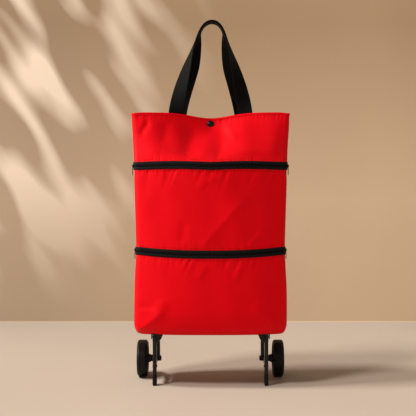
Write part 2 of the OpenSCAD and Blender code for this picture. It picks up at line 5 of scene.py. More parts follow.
import bpy
import numpy as np
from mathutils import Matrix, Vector


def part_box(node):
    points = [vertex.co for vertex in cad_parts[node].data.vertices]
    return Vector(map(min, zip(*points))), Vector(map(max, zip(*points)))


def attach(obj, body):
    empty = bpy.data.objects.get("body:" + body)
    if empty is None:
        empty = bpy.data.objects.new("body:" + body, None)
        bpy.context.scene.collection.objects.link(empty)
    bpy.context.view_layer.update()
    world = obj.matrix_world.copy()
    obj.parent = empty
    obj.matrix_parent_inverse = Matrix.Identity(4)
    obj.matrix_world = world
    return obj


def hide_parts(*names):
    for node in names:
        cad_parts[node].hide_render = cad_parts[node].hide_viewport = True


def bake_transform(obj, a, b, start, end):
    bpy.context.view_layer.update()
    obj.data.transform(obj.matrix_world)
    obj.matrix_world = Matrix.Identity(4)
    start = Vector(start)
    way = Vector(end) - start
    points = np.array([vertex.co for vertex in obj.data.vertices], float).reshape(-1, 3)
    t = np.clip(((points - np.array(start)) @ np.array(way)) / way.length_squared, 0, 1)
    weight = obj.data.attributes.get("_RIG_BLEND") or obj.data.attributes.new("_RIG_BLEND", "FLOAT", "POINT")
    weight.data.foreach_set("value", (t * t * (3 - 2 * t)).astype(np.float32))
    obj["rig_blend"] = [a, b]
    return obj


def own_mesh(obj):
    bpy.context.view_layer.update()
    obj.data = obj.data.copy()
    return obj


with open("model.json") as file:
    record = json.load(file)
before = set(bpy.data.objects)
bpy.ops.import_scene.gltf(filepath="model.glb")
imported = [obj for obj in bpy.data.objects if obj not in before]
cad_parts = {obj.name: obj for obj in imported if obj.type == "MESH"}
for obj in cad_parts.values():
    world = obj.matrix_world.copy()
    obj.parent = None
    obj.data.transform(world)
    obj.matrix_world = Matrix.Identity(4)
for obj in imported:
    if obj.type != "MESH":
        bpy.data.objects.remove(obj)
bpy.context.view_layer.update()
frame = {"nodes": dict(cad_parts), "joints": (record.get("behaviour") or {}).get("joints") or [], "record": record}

MM = 0.001
RNG = np.random.default_rng(7)


# ---------------------------------------------------------------- camera, floor and light
def aim(obj, target):
    obj.rotation_euler = (Vector(target) - obj.location).to_track_quat("-Z", "Y").to_euler()


def add_camera():
    cam = bpy.data.objects.new("camera", bpy.data.cameras.new("camera"))
    cam.data.lens = 82.35
    cam.data.sensor_width = 36
    cam.location = (-0.0054, -2.085, 0.473)
    cam.rotation_euler = (math.radians(90 - 2.53), 0, 0)
    bpy.context.scene.collection.objects.link(cam)
    bpy.context.scene.camera = cam


def add_area(name, place, target, size, power, colour):
    light = bpy.data.lights.new(name, "AREA")
    light.shape = "RECTANGLE"
    light.size, light.size_y = size
    light.energy = power
    light.color = colour
    obj = bpy.data.objects.new(name, light)
    obj.location = place
    bpy.context.scene.collection.objects.link(obj)
    aim(obj, target)


def add_lights():
    middle = (0, 0, 0.42)
    add_area("key", (-2.4, -0.44, 1.5), middle, (0.6, 0.6), 86, (1.0, 0.955, 0.90))
    add_area("front_key", (-1.6, -2.0, 1.9), middle, (0.6, 0.6), 19, (1.0, 0.95, 0.90))
    add_area("sun", (-2.0, -0.30, 3.4), middle, (0.6, 0.6), 168, (1.0, 0.955, 0.90))
    add_area("sky_left", (-1.7, -1.30, 3.3), middle, (0.6, 0.6), 118, (1.0, 0.95, 0.90))
    add_area("fill", (1.9, -2.3, 0.9), middle, (2.2, 2.0), 3, (1.0, 0.94, 0.88))
    add_area("top", (0.2, -0.3, 2.4), middle, (2.0, 2.0), 2.5, (1.0, 0.96, 0.92))
    world = bpy.data.worlds.new("studio")
    world.use_nodes = True
    background = world.node_tree.nodes["Background"]
    background.inputs["Color"].default_value = (1.0, 0.87, 0.70, 1)
    background.inputs["Strength"].default_value = 0.325
    bpy.context.scene.world = world
    bpy.context.scene.view_settings.view_transform = "Standard"


def add_floor():
    """A pale floor that curves up into a wall behind the object."""
    half, front, back, bend = 4.0, -3.2, 0.775, 0.006
    steps = 8
    line = [(front, 0.0), (back - bend, 0.0)]
    line += [(back - bend + bend * math.sin(a), bend - bend * math.cos(a))
             for a in np.linspace(0, math.pi / 2, steps)[1:]]
    line += [(back, 4.0)]
    verts = [(x, y, z) for y, z in line for x in (-half, half)]
    faces = [(2 * i, 2 * i + 1, 2 * i + 3, 2 * i + 2) for i in range(len(line) - 1)]
    mesh = bpy.data.meshes.new("floor")
    mesh.from_pydata(verts, [], faces)
    mesh.polygons.foreach_set("use_smooth", [True] * len(faces))
    floor = bpy.data.objects.new("floor", mesh)
    bpy.context.scene.collection.objects.link(floor)
    mesh.materials.append(MATERIALS["floor"])
    mesh.materials.append(MATERIALS["wall"])
    mesh.polygons.foreach_set("material_index", [int(line[i + 1][1] > bend / 2) for i in range(len(faces))])
    return floor


def share_light(floor):
    """The key lights leave the floor and wall out, and a higher sun lights these alone, for the shadow's
    length."""
    for name, state in (("key", "EXCLUDE"), ("front_key", "EXCLUDE"),
                        ("sun", "INCLUDE"), ("sky_left", "INCLUDE")):
        linked = bpy.data.collections.new(f"{name}_receivers")
        linked.objects.link(floor)
        linked.collection_objects[0].light_linking.link_state = state
        bpy.data.objects[name].light_linking.receiver_collection = linked


# ---------------------------------------------------------------- materials
class Nodes:
    """A material's node tree, with short calls for the nodes used here."""

    def __init__(self, name):
        self.material = bpy.data.materials.new(name)
        self.material.use_nodes = True
        self.tree = self.material.node_tree
        self.shader = self.tree.nodes["Principled BSDF"]

    def node(self, kind, **values):
        made = self.tree.nodes.new(kind)
        for key, value in values.items():
            setattr(made, key, value)
        return made

    def link(self, source, target):
        self.tree.links.new(source, target)

    def put(self, target, value):
        if isinstance(value, bpy.types.NodeSocket):
            self.link(value, target)
        else:
            target.default_value = value

    def math(self, operation, a, b=0.0):
        made = self.node("ShaderNodeMath", operation=operation)
        self.put(made.inputs[0], a)
        self.put(made.inputs[1], b)
        return made.outputs[0]

    def one_sided(self):
        """Clear from its far side, so that a floor or wall doesn't hide the object from below or behind."""
        mix = self.node("ShaderNodeMixShader")
        self.link(self.node("ShaderNodeNewGeometry").outputs["Backfacing"], mix.inputs[0])
        self.link(self.shader.outputs[0], mix.inputs[1])
        self.link(self.node("ShaderNodeBsdfTransparent").outputs[0], mix.inputs[2])
        self.link(mix.outputs[0], self.tree.nodes["Material Output"].inputs["Surface"])

    def place(self):
        """Object coordinates, in metres."""
        return self.node("ShaderNodeTexCoord").outputs["Object"]

    def cloth(self):
        """The cloth's own coordinates along and across, in metres, as two sockets."""
        split = self.node("ShaderNodeSeparateXYZ")
        self.link(self.node("ShaderNodeUVMap", uv_map="cloth").outputs["UV"], split.inputs[0])
        return split.outputs[0], split.outputs[1]

    def noise(self, scale, detail=3.0, rough=0.5, where=None):
        made = self.node("ShaderNodeTexNoise")
        self.link(where or self.place(), made.inputs["Vector"])
        made.inputs["Scale"].default_value = scale
        made.inputs["Detail"].default_value = detail
        made.inputs["Roughness"].default_value = rough
        return made.outputs["Fac"]

    def spread(self, value, low, high, start=0.3, stop=0.7):
        """value, from start to stop, mapped to low to high."""
        made = self.node("ShaderNodeMapRange")
        self.put(made.inputs["Value"], value)
        for key, number in (("From Min", start), ("From Max", stop), ("To Min", low), ("To Max", high)):
            made.inputs[key].default_value = number
        return made.outputs["Result"]

    def blend(self, share, a, b):
        made = self.node("ShaderNodeMix", data_type="RGBA")
        self.put(made.inputs["Factor"], share)
        self.put(made.inputs["A"], a)
        self.put(made.inputs["B"], b)
        return made.outputs["Result"]

    def bump(self, height, distance, strength=1.0):
        made = self.node("ShaderNodeBump")
        made.inputs["Distance"].default_value = distance
        made.inputs["Strength"].default_value = strength
        if self.shader.inputs["Normal"].is_linked:
            self.link(self.shader.inputs["Normal"].links[0].from_socket, made.inputs["Normal"])
        self.link(height, made.inputs["Height"])
        self.link(made.outputs["Normal"], self.shader.inputs["Normal"])

    def set(self, **values):
        for key, value in values.items():
            self.put(self.shader.inputs[key.replace("_", " ")], value)

    def wave(self, along, period):
        """A sine along one coordinate."""
        return self.math("SINE", self.math("MULTIPLY", along, 2 * math.pi / period))


def rgb(r, g, b):
    return (r, g, b, 1.0)


def woven_red():
    n = Nodes("woven_red")
    u, v = n.cloth()
    weave = n.math("MULTIPLY", n.wave(u, 0.9 * MM), n.wave(v, 0.9 * MM))
    slub = n.noise(260.0, 2.0)
    patch = n.spread(n.noise(9.0, 2.0), 0.0, 1.0)
    base = n.blend(patch, rgb(0.80, 0.0007, 0.0062), rgb(0.87, 0.0011, 0.0080))
    n.set(Base_Color=n.blend(n.spread(weave, 0.0, 0.30, -1, 1), base, rgb(0.54, 0.0006, 0.004)),
          Roughness=n.spread(slub, 0.54, 0.64), Specular_IOR_Level=0.42, Specular_Tint=rgb(1.0, 0.10, 0.12),
          Sheen_Weight=0.05, Sheen_Roughness=0.4, Sheen_Tint=rgb(1.0, 0.10, 0.12))
    n.bump(weave, 0.05 * MM, 0.6)
    n.bump(slub, 0.12 * MM, 0.5)
    return n.material


def red_thread_painted_shade():
    n = Nodes("red_thread_painted_shade")
    twist = n.wave(n.math("ADD", *n.cloth()), 0.5 * MM)
    # The thread's dark red is painted shade: darker than the cloth, standing in for the shadow in each stitch's
    # recess.
    n.set(Base_Color=rgb(0.30, 0.001, 0.004), Roughness=0.55, Specular_IOR_Level=0.12)
    n.bump(twist, 0.05 * MM, 0.6)
    return n.material


def webbing():
    n = Nodes("webbing")
    across, along = n.cloth()
    ribs = n.wave(across, 2.1 * MM)
    pick = n.math("MULTIPLY", n.wave(along, 1.5 * MM), n.wave(across, 1.05 * MM))
    fuzz = n.noise(700.0, 2.0)
    dark, light = rgb(0.0017, 0.0017, 0.0017), rgb(0.0046, 0.0046, 0.0045)
    n.set(Base_Color=n.blend(n.spread(pick, 0.0, 1.0, -1, 1), dark, light),
          Roughness=n.spread(fuzz, 0.50, 0.66), Specular_IOR_Level=0.06,
          Sheen_Weight=0.003, Sheen_Roughness=0.5)
    n.bump(ribs, 0.16 * MM, 0.7)
    n.bump(pick, 0.10 * MM, 0.7)
    return n.material


def zip_tape():
    n = Nodes("zip_tape")
    u, v = n.cloth()
    chevron = n.wave(n.math("ADD", u, n.math("ABSOLUTE", n.wave(v, 5.2 * MM))), 0.9 * MM)
    weave = n.math("MULTIPLY", n.wave(u, 0.8 * MM), n.wave(v, 0.8 * MM))
    dark, light = rgb(0.0030, 0.0032, 0.0032), rgb(0.0085, 0.0088, 0.0085)
    n.set(Base_Color=n.blend(n.spread(weave, 0.0, 1.0, -1, 1), dark, light),
          Roughness=0.62, Specular_IOR_Level=0.10, Sheen_Weight=0.008)
    n.bump(weave, 0.09 * MM, 0.8)
    n.bump(chevron, 0.03 * MM, 0.3)
    return n.material


def plastic(name, colour, low, high, spec=0.45):
    n = Nodes(name)
    fine = n.noise(900.0, 3.0)
    worn = n.noise(22.0, 4.0)
    lift = tuple(min(1.0, 1.45 * c + 0.001) for c in colour[:3])
    n.set(Base_Color=n.blend(n.spread(worn, 0.0, 0.5), colour, rgb(*lift)),
          Roughness=n.spread(worn, low, high), Specular_IOR_Level=spec)
    n.bump(fine, 0.05 * MM, 0.35)
    return n.material


def powder_coat():
    n = Nodes("powder_coat")
    peel = n.noise(650.0, 2.0)
    scuff = n.spread(n.noise(38.0, 6.0, 0.65), 0.0, 1.0, 0.62, 0.80)
    n.set(Base_Color=n.blend(scuff, rgb(0.0045, 0.0046, 0.005), rgb(0.012, 0.012, 0.0115)),
          Roughness=n.spread(scuff, 0.36, 0.52, 0.0, 1.0), Specular_IOR_Level=0.28)
    n.bump(peel, 0.09 * MM, 0.5)
    return n.material


def lacquer():
    n = Nodes("black_lacquer")
    smear = n.noise(120.0, 4.0)
    n.set(Base_Color=rgb(0.004, 0.004, 0.0045), Roughness=n.spread(smear, 0.22, 0.34),
          Specular_IOR_Level=0.26)
    n.bump(smear, 0.03 * MM, 0.25)
    return n.material


def black_steel():
    n = Nodes("black_steel")
    spangle = n.noise(240.0, 4.0, 0.6)
    n.set(Base_Color=n.blend(n.spread(spangle, 0.0, 1.0), rgb(0.010, 0.010, 0.011), rgb(0.022, 0.022, 0.022)),
          Metallic=0.6, Roughness=n.spread(spangle, 0.38, 0.52), Specular_IOR_Level=0.25)
    n.bump(spangle, 0.03 * MM, 0.3)
    return n.material


def rubber(name, tread):
    """Black rubber, a little dusty on the tread."""
    n = Nodes(name)
    pores = n.noise(800.0, 3.0)
    dust = n.spread(n.noise(55.0, 6.0, 0.7), 0.0, 0.4 if tread else 0.2, 0.50, 0.80)
    n.set(Base_Color=n.blend(dust, rgb(0.0035, 0.0035, 0.0035), rgb(0.020, 0.018, 0.016)),
          Roughness=n.spread(dust, 0.44, 0.62, 0.0, 0.5), Specular_IOR_Level=0.16)
    n.bump(pores, 0.08 * MM, 0.4)
    return n.material


def stage_finish(name, low, high, left, right, top, streaks):
    """A matt floor or wall, paler to the right by the shares left and right, as painted light and shade
    that cancel the lamps' falloff across it, and darkened and tinted by top towards its upper end, as painted
    shade. streaks adds soft slanting painted patches of light to the upper left."""
    n = Nodes(name)
    cloud = n.noise(1.6, 3.0)
    grain = n.noise(420.0, 3.0)
    split = n.node("ShaderNodeSeparateXYZ")
    n.link(n.place(), split.inputs[0])
    x, z = split.outputs[0], split.outputs[2]
    base = n.blend(n.spread(cloud, 0.0, 1.0), low, high)
    # Painted light and shade: darker to the left and paler to the right, cancelling the lamps' falloff.
    across = n.blend(n.spread(x, 0.0, 1.0, -0.5, 0.5), rgb(left, left, left), rgb(right, right, right))
    # Painted shade: darker and warmer towards the upper end, by top.
    up = n.blend(n.spread(z, 0.0, 1.0, 0.37, 0.90), rgb(1, 1, 1), top)
    for share in (across, up):
        shade = n.node("ShaderNodeVectorMath", operation="MULTIPLY")
        n.link(base, shade.inputs[0])
        n.link(share, shade.inputs[1])
        base = shade.outputs[0]
    if streaks:
        turned = n.node("ShaderNodeVectorRotate", rotation_type="Y_AXIS")
        n.link(n.place(), turned.inputs["Vector"])
        turned.inputs["Angle"].default_value = math.radians(-56)
        stretched = n.node("ShaderNodeVectorMath", operation="MULTIPLY")
        n.link(turned.outputs[0], stretched.inputs[0])
        stretched.inputs[1].default_value = (1.1, 1.0, 4.2)
        leaves = n.spread(n.noise(2.6, 1.2, 0.4, stretched.outputs[0]), 0.0, 1.0, 0.47, 0.62)
        near = n.math("MULTIPLY", n.spread(x, 1.0, 0.0, -0.42, 0.02), n.spread(z, 0.0, 1.0, 0.05, 0.45))
        lit = n.math("MULTIPLY", n.math("MULTIPLY", leaves, near), 0.72)
        base = n.blend(lit, base, rgb(0.72, 0.60, 0.48))
    n.set(Base_Color=base, Roughness=0.78, Specular_IOR_Level=0.25)
    n.bump(grain, 0.12 * MM, 0.25)
    n.one_sided()
    return n.material


MATERIALS = {
    "red_fabric": woven_red(),
    "red_thread_painted_shade": red_thread_painted_shade(),
    "webbing": webbing(),
    "zip_tape": zip_tape(),
    # The coil is black nylon, made darker than the zip tapes partly as painted shade for the recess between them.
    "zip_coil": plastic("coil_nylon", rgb(0.0012, 0.0012, 0.0012), 0.36, 0.46, spec=0.12),
    "zip_metal": lacquer(),
    "snap": lacquer(),
    "board": plastic("board", rgb(0.03, 0.03, 0.03), 0.55, 0.70),
    "bracket": powder_coat(),
    "steel": black_steel(),
    "foot_rubber": rubber("foot_rubber", False),
    "tyre": rubber("tyre_rubber", True),
    "rim": plastic("rim_plastic", rgb(0.009, 0.009, 0.009), 0.36, 0.50, spec=0.3),
    "bush": plastic("nylon", rgb(0.62, 0.60, 0.55), 0.40, 0.50),
    # The floor and wall carry painted light and shade across them, and the wall painted shade towards its top.
    "floor": stage_finish("pale_floor", rgb(0.347, 0.290, 0.238), rgb(0.37, 0.311, 0.257), 0.79, 1.00,
                          rgb(1, 1, 1), False),
    "wall": stage_finish("warm_wall", rgb(0.355, 0.262, 0.174), rgb(0.39, 0.288, 0.194), 0.90, 1.40,
                         rgb(0.60, 0.54, 0.47), True),
}


# ---------------------------------------------------------------- the bag's shape
def low(node, axis):
    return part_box(node)[0][axis]


def high(node, axis):
    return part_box(node)[1][axis]


CLOTH_T = 1.0 * MM
HEM_W = 0.1709  # half width at the hem
HEM_Z = high("top_rear_panel", 2) + 1.5 * MM
BOTTOM_Z = low("lower_panel", 2)
UPPER_ZIP = (low("upper_zip_coil", 2) + high("upper_zip_coil", 2)) / 2
LOWER_ZIP = (low("lower_zip_coil", 2) + high("lower_zip_coil", 2)) / 2
ZIP_H = high("upper_zip_tape_top", 2) - low("upper_zip_tape_bottom", 2) + 1.2 * MM
TOP_Z = UPPER_ZIP + ZIP_H / 2

BELLY_D = 0.072  # half depth of the corners low on the bag
FACE_BULGE = 0.0150  # how far the middle of a face stands out from its corners
FLATTEN = 0.0075
BOW_LOW, BOW_HIGH = 2.8, 2.1  # powers of the face's bow, low and high on the bag
HEM_DIP = 0.0116
DIP_REACH = 0.33
CORNER_DROOP = 0.0018
HEM_D = 0.046
SNAP_GAP = 0.0038  # half the depth that the closed snap leaves
SNAP_SHARE = 0.86  # the snap's height as a share of the top panel
MOUTH_D = 0.024
MOUTH_REACH = 0.42
GUSSET_FOLD = 0.09
EDGE_Z = 0.1108  # where the walls turn under
EDGE_H, EDGE_IN = 0.024, 0.011  # the rounding of the side walls' lower edge: its height and depth
FACE_EDGE_H, FACE_EDGE_IN = 0.058, 0.020  # and that of the faces
HEM_BAND = 0.005
STITCH_AWAY = 4 * MM  # from a zip tape's edge to the row of stitches

FACE, ARC, SIDE = 230, 14, 70  # columns on a face, a corner and a side


def soften(z, zs, values, reach=0.018):
    """Straight-line interpolation, rounded off over reach either way."""
    return sum(np.interp(z + d, zs, values) for d in np.linspace(-reach, reach, 7)) / 7


def ease(t):
    t = np.clip(t, 0, 1)
    return t * t * (3 - 2 * t)


def rise(z):
    """0 at the top of the upper zip, 1 at the hem."""
    return np.clip((z - TOP_Z) / (HEM_Z - TOP_Z), 0, 1)


def pinch(z):
    """How far the snap draws the two faces together."""
    s = np.clip(rise(z) / SNAP_SHARE, 0, 1)
    return (s + np.sin(np.pi / 2 * s)) / 2


def bottom_round(z, height):
    """A quarter circle over height, from 0 at the lower edge to 1."""
    s = np.clip((z - EDGE_Z) / height, 0, 1)
    return np.sqrt(1 - (1 - s) ** 2)


def half_w(z):
    zs = [0.175, 0.230, LOWER_ZIP, 0.375, UPPER_ZIP, HEM_Z]
    ws = [HEM_W - d for d in (0.0073, 0.0083, 0.0117, 0.0096, 0.0076, 0.0)]
    return soften(z, zs, ws) - EDGE_IN * (1 - bottom_round(z, EDGE_H))


def half_d(z):
    zs = [0.190, LOWER_ZIP, UPPER_ZIP, TOP_Z, HEM_Z]
    ds = [BELLY_D, BELLY_D - 0.0025, BELLY_D - 0.004, BELLY_D - 0.004, HEM_D]
    return np.interp(z, zs, ds) - FACE_EDGE_IN * (1 - bottom_round(z, FACE_EDGE_H))


def bulge(z):
    zs = [0.190, LOWER_ZIP, UPPER_ZIP]
    share = 0.6 + 0.4 * bottom_round(z, FACE_EDGE_H)
    return np.interp(z, zs, [FACE_BULGE, FACE_BULGE - 0.0005, FACE_BULGE - 0.001]) * share


def corner_r(z):
    return np.interp(z, [0.15, LOWER_ZIP, TOP_Z, HEM_Z], [0.011, 0.011, 0.011, 0.009])


def depth_at(u, z):
    """Half depth of the bag at a share u of its half width: bowed below the zip, pinched shut at the snap."""
    power = np.interp(z, [0.20, 0.40], [BOW_LOW, BOW_HIGH])
    open_d = half_d(z) - FLATTEN + (bulge(z) + FLATTEN) * (1 - u ** power)
    shut_d = SNAP_GAP + MOUTH_D * (1 - np.exp(-(u / MOUTH_REACH) ** 1.6))
    return open_d + (shut_d - open_d) * pinch(z)


def make_columns():
    """One turn of the bag from its front left corner: each column's side signs and its arc direction."""
    turns = []

    def arc(sx, sy, start):
        angles = np.radians(np.linspace(start, start + 90, ARC + 1))
        turns.extend((sx, sy, math.cos(a), math.sin(a)) for a in angles)

    def straight(count, row):
        turns.extend(row(t) for t in np.linspace(-1, 1, count + 1)[1:-1])

    arc(-1, -1, 180)
    straight(FACE, lambda t: (t, -1, 0, -1))
    arc(1, -1, 270)
    straight(SIDE, lambda t: (1, t, 1, 0))
    arc(1, 1, 0)
    straight(FACE, lambda t: (-t, 1, 0, 1))
    arc(-1, 1, 90)
    straight(SIDE, lambda t: (-1, -t, -1, 0))
    return np.array(turns)


COLUMNS = make_columns()
N_COLS = len(COLUMNS)
ALL = np.arange(N_COLS)
FRONT_COLS = 2 * (ARC + 1) + FACE - 1


def surface(z, cols):
    """Points of the plain bag at heights z, one row for each height and one column for each entry of cols."""
    sx, sy, cx, cy = COLUMNS[cols].T
    a, b, r = half_w(z), half_d(z), corner_r(z)
    x, y = sx * (a - r) + r * cx, sy * (b - r) + r * cy
    u, v = np.abs(x) / a, np.abs(y) / b
    depth = depth_at(u, z)
    droop = HEM_DIP * np.exp(-(u / DIP_REACH) ** 2) + CORNER_DROOP * ease((u - 0.86) / 0.14)
    return np.stack([x * (1 - GUSSET_FOLD * rise(z) * np.clip(1 - 3 * v, 0, 1) * u ** 8),
                     y / b * depth,
                     z - rise(z) * droop], axis=-1)


def run_lengths():
    """Each column's distance round the bag, from the middle of the front."""
    ring = surface(np.full((1, N_COLS), 0.375), ALL)[0]
    step = np.linalg.norm(np.roll(ring, -1, axis=0) - ring, axis=1)
    run = np.concatenate([[0], np.cumsum(step)])
    middle = run[ARC + FACE // 2]
    return run[:-1] - middle, run[-1]


RUN, ROUND = run_lengths()


def wrapped(s):
    """Distances round the bag, brought to within half a turn of the front's middle."""
    return (s + ROUND / 2) % ROUND - ROUND / 2


# ---------------------------------------------------------------- folds and puckers
def sag(cols, depth):
    """How far a seam hangs at each column: most in the middle of the front and rear, none at the sides."""
    share = np.clip(np.abs(COLUMNS[cols][:, 0]), 0, 1)
    return -depth * (1 - share ** 2.2) * (np.abs(COLUMNS[cols][:, 1]) >= 0.999)


def ridge(s, z, start, end, width, height, sharp=False):
    """A fold along a line from start to end, tapering at its ends. width is that of its two flanks, the right
    one last when it runs downward. A sharp one has a creased crest."""
    (s0, z0), (s1, z1) = start, end
    length = math.hypot(s1 - s0, z1 - z0)
    ts, tz = (s1 - s0) / length, (z1 - z0) / length
    along = ((s - s0) * ts + (z - z0) * tz) / length
    off = (s - s0) * -tz + (z - z0) * ts
    taper = ease((along + 0.25) / 0.45) * ease((1.25 - along) / 0.45)
    flank = np.where(off > 0, width[1], width[0])
    if sharp:
        soft = 2.5 * MM
        shape = np.exp(-(np.sqrt(off ** 2 + soft ** 2) - soft) / flank)
    else:
        shape = np.exp(-(off / flank) ** 2)
    return height * shape * taper


# Folds of the front, as (start, end, widths, height, creased), in distance from the middle and height.
TOP_FOLDS = [
    ((-0.124, 0.575), (-0.118, 0.495), (0.030, 0.030), 0.0040, False),
    ((-0.036, 0.560), (-0.050, 0.490), (0.018, 0.018), -0.0046, False),
    ((-0.090, 0.568), (-0.097, 0.520), (0.011, 0.011), -0.0014, False),
    ((-0.128, 0.566), (-0.143, 0.540), (0.007, 0.007), -0.0024, False),
    ((0.067, 0.572), (0.070, 0.484), (0.034, 0.030), 0.0050, False),
    ((0.024, 0.556), (0.018, 0.492), (0.014, 0.014), -0.0018, False),
    ((0.006, 0.552), (-0.020, 0.488), (0.012, 0.012), 0.0014, False),
    ((0.026, 0.524), (0.010, 0.484), (0.009, 0.009), -0.0016, False),
    ((0.136, 0.572), (0.117, 0.486), (0.040, 0.026), 0.0052, False),
    ((0.034, 0.568), (0.052, 0.530), (0.008, 0.008), 0.0014, False),
]
MIDDLE_FOLDS = [
    ((0.076, 0.408), (-0.016, 0.306), (0.016, 0.016), 0.0022, True),
    ((0.108, 0.331), (0.082, 0.303), (0.006, 0.006), 0.0012, False),
    ((-0.057, 0.350), (-0.060, 0.316), (0.010, 0.010), -0.0012, False),
    ((-0.146, 0.372), (-0.120, 0.420), (0.020, 0.020), 0.0008, False),
    ((0.004, 0.448), (-0.026, 0.430), (0.010, 0.010), 0.0010, False),
    ((0.140, 0.318), (0.126, 0.352), (0.012, 0.012), -0.0009, False),
]
LOWER_FOLDS = [
    ((-0.158, 0.119), (-0.106, 0.158), (0.014, 0.014), 0.0046, True),
    ((-0.108, 0.156), (-0.100, 0.186), (0.014, 0.014), 0.0022, False),
    ((-0.156, 0.172), (-0.120, 0.174), (0.005, 0.005), -0.0011, False),
    ((0.158, 0.117), (0.120, 0.146), (0.012, 0.012), 0.0030, True),
    ((0.112, 0.148), (0.090, 0.176), (0.014, 0.014), 0.0012, False),
    ((-0.012, 0.262), (-0.026, 0.236), (0.010, 0.010), 0.0010, False),
    ((0.064, 0.262), (0.052, 0.232), (0.009, 0.009), 0.0009, False),
]


def far_folds(folds):
    """The same kind of folds for the rear, mirrored and shifted so that the two faces differ."""
    return [((ROUND / 2 - 0.8 * s0 - 0.01, z0), (ROUND / 2 - 0.8 * s1 - 0.01, z1), w, 0.85 * h, sharp)
            for (s0, z0), (s1, z1), w, h, sharp in folds]


def side_folds(z_low, z_high):
    """A few soft folds on each side panel."""
    made = []
    for middle in (ROUND / 4, -ROUND / 4):
        for _ in range(3):
            s = middle + RNG.uniform(-0.035, 0.035)
            z, width = RNG.uniform(z_low + 0.02, z_high - 0.02), RNG.uniform(0.008, 0.016)
            made.append(((s, z), (s + RNG.uniform(-0.02, 0.02), z + RNG.uniform(0.02, 0.05)),
                         (width, width), RNG.uniform(-0.0016, 0.0016), False))
    return made


def undulation(s, z, height):
    """A gentle unevenness over the whole cloth, the same after one turn."""
    total = 0
    for _ in range(7):
        turns = RNG.integers(4, 15)
        up = RNG.uniform(8, 42)
        phase = RNG.uniform(0, 2 * math.pi)
        total = total + np.sin(2 * math.pi * turns * s / ROUND + up * z + phase) / 7
    return height * total


def gathers(s, away, height, reach, pitch=7.4 * MM):
    """The regular small dimples that a row of stitches pulls into the cloth."""
    count = round(ROUND / pitch)
    pull = np.zeros_like(s + away)
    for k in range(count):
        here = (k + RNG.uniform(-0.18, 0.18)) * ROUND / count - ROUND / 2
        size, width = height * RNG.uniform(0.35, 1.0), RNG.uniform(1.5, 2.4) * MM
        long = reach * RNG.uniform(0.6, 1.3)
        pull -= size * np.exp(-(wrapped(s - here) / width) ** 2 - away / long)
    return pull * (1 - np.exp(-away / (1.2 * MM)))


def puckers(s, away, reach, height, lean=0.0, gap=13 * MM):
    """Longer soft folds that start at a seam. away is the distance from the seam, and lean their slant."""
    total = np.zeros_like(s + away)
    here = -ROUND / 2
    while here < ROUND / 2 - gap / 2:
        here += gap * RNG.uniform(0.5, 1.6)
        size = height * RNG.uniform(0.1, 1.0) ** 1.4
        long = reach * RNG.uniform(0.5, 1.6)
        width = RNG.uniform(3.6, 6.5) * MM
        slant = lean + RNG.uniform(-0.2, 0.2)
        d = wrapped(s - here - slant * away)
        total -= size * np.exp(-(d / width) ** 2 - (away / long) ** 1.5)
    return total * (1 - np.exp(-away / (2 * MM)))


def stitch_line(away, at, depth=0.35 * MM):
    """The groove that a row of stitches pulls into the cloth."""
    return -depth * np.exp(-((away - at) / (1.1 * MM)) ** 2)


def dimple(s, z, out):
    """Draws the cloth in under the snap's two caps, and smooths it there."""
    snap_z = (low("snap_cap", 2) + high("snap_cap", 2)) / 2 + HEM_DIP
    near = 0
    for middle in (0, ROUND / 2):
        near = near + np.exp(-(np.hypot(wrapped(s - middle), z - snap_z) / (11 * MM)) ** 2)
    return out * (1 - near) - 1.9 * MM * near


# ---------------------------------------------------------------- mesh building
def graded(count, fine=0.35):
    """Shares from 0 to 1, closer together at both ends."""
    t = np.linspace(0, 1, count)
    return t - fine * np.sin(2 * np.pi * t) / (2 * np.pi) * 2


def grid_normals(points, closed):
    """Outward unit normals of a grid that runs anticlockwise along its columns and up its rows."""
    if closed:
        across = np.roll(points, -1, axis=1) - np.roll(points, 1, axis=1)
    else:
        across = np.gradient(points, axis=1)
    up = np.gradient(points, axis=0)
    normal = np.cross(across, up)
    return normal / np.linalg.norm(normal, axis=2, keepdims=True)


def finish_mesh(name, verts, faces, uvs, material):
    """An object from vertices, faces and one cloth coordinate pair for each face corner."""
    mesh = bpy.data.meshes.new(name)
    mesh.from_pydata(np.asarray(verts).tolist(), [], faces)
    layer = mesh.uv_layers.new(name="cloth")
    layer.data.foreach_set("uv", np.asarray(uvs, np.float32).ravel())
    mesh.polygons.foreach_set("use_smooth", [True] * len(faces))
    mesh.materials.append(MATERIALS[material])
    obj = bpy.data.objects.new(name, mesh)
    bpy.context.scene.collection.objects.link(obj)
    return obj


def grid_object(name, points, run, heights, closed):
    """A red cloth from a grid of points, with the run and the height of each point as cloth coordinates."""
    rows, cols = points.shape[:2]
    wide = cols if closed else cols - 1
    faces, uvs = [], []
    for r in range(rows - 1):
        for c in range(wide):
            d = (c + 1) % cols
            s0, s1 = run[c], run[d] if d > c else run[d] + ROUND
            faces.append((r * cols + c, r * cols + d, (r + 1) * cols + d, (r + 1) * cols + c))
            uvs += [(s0, heights[r, c]), (s1, heights[r, d]),
                    (s1, heights[r + 1, d]), (s0, heights[r + 1, c])]
    return finish_mesh(name, points.reshape(-1, 3), faces, uvs, "red_fabric")


def thicken(obj):
    """Gives the cloth an inner side."""
    solid = obj.modifiers.new("cloth", "SOLIDIFY")
    solid.thickness = CLOTH_T
    solid.offset = -1
    solid.use_even_offset = False


